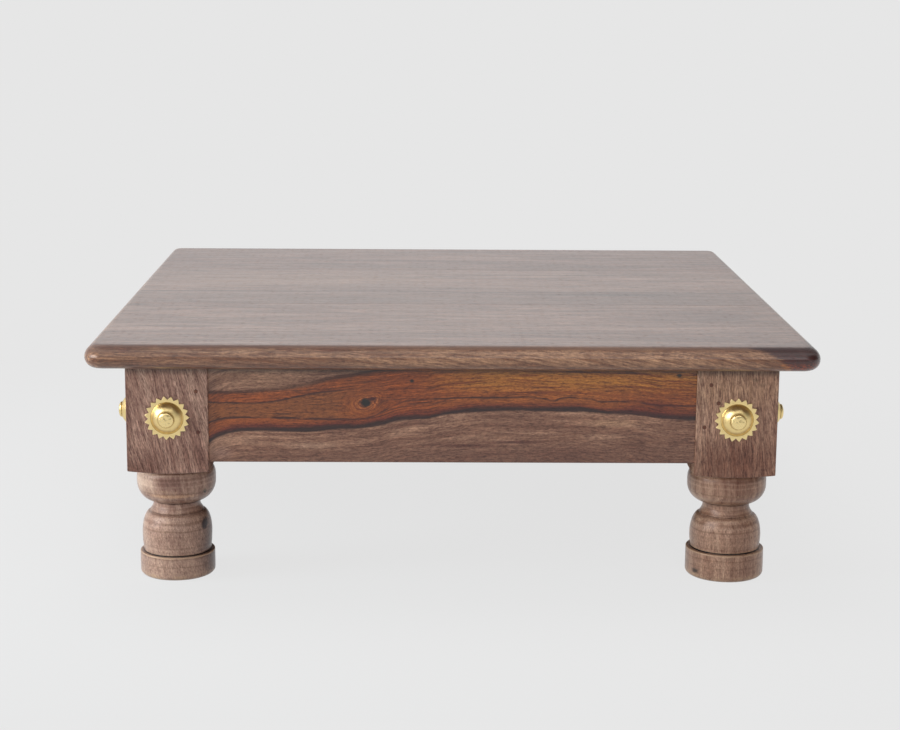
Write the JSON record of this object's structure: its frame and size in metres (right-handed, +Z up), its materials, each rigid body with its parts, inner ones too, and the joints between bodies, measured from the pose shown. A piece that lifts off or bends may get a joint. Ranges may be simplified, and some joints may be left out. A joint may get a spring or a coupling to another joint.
{
  "type": "bajot low table",
  "caption": "Low square wooden table: planked top with a bullnosed edge, pegged apron rails, turned legs and brass sunburst studs on the leg blocks.",
  "frame": {"origin": "on the floor, under the middle of the top", "axes": "+X to the right along the front edge and the boards' grain, +Y to the back, +Z up"},
  "size_m": [0.6, 0.6, 0.206],
  "materials": {
    "top_wood": "satin",
    "leg_wood": "satin",
    "rail_wood": "satin",
    "cleat_wood": "unfinished",
    "peg_wood": "satin",
    "brass": "polished",
    "screw_steel": "zinc plated"
  },
  "bodies": {
    "root": {"cleat_back": "cleat_wood", "cleat_front": "cleat_wood", "cleat_left": "cleat_wood", "cleat_right": "cleat_wood", "leg_back_left": "leg_wood", "leg_back_right": "leg_wood", "leg_front_left": "leg_wood", "leg_front_right": "leg_wood", "nail_back_left_end": "brass", "nail_back_left_side": "brass", "nail_back_right_end": "brass", "nail_back_right_side": "brass", "nail_front_left_end": "brass", "nail_front_left_side": "brass", "nail_front_right_end": "brass", "nail_front_right_side": "brass", "peg_back_left_end_1": "peg_wood", "peg_back_left_end_2": "peg_wood", "peg_back_left_side_1": "peg_wood", "peg_back_left_side_2": "peg_wood", "peg_back_right_end_1": "peg_wood", "peg_back_right_end_2": "peg_wood", "peg_back_right_side_1": "peg_wood", "peg_back_right_side_2": "peg_wood", "peg_front_left_end_1": "peg_wood", "peg_front_left_end_2": "peg_wood", "peg_front_left_side_1": "peg_wood", "peg_front_left_side_2": "peg_wood", "peg_front_right_end_1": "peg_wood", "peg_front_right_end_2": "peg_wood", "peg_front_right_end_3": "peg_wood", "peg_front_right_side_1": "peg_wood", "peg_front_right_side_2": "peg_wood", "rail_back": "rail_wood", "rail_front": "rail_wood", "rail_left": "rail_wood", "rail_right": "rail_wood", "rosette_back_left_end": "brass", "rosette_back_left_side": "brass", "rosette_back_right_end": "brass", "rosette_back_right_side": "brass", "rosette_front_left_end": "brass", "rosette_front_left_side": "brass", "rosette_front_right_end": "brass", "rosette_front_right_side": "brass", "screw_back_1": "screw_steel", "screw_back_2": "screw_steel", "screw_front_1": "screw_steel", "screw_front_2": "screw_steel", "screw_left_1": "screw_steel", "screw_left_2": "screw_steel", "screw_right_1": "screw_steel", "screw_right_2": "screw_steel", "top_board_back": "top_wood", "top_board_front": "top_wood", "top_board_middle": "top_wood"}
  },
  "joints": []
}
